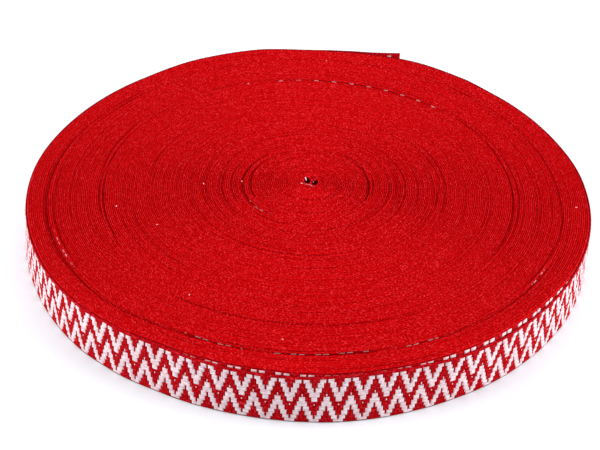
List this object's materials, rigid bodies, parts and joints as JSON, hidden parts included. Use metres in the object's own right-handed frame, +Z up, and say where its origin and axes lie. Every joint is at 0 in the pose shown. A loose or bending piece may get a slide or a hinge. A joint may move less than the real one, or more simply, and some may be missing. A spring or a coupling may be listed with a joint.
{
  "type": "roll of woven webbing",
  "caption": "Flat round roll of woven cloth webbing lying on its side, wound edge up with no core, with its outer end sprung loose.",
  "frame": {"origin": "middle of the winding on the flat underside that the roll rests on", "axes": "+Z up through the middle of the winding, +X to the right and +Y to the back as seen with the loose end at the back right"},
  "size_m": [0.2166, 0.2164, 0.0212],
  "materials": {
    "webbing": "matte woven yarn, red with white zigzag floats"
  },
  "bodies": {
    "root": {"wound_roll": "webbing", "loose_end": "webbing"}
  },
  "joints": []
}
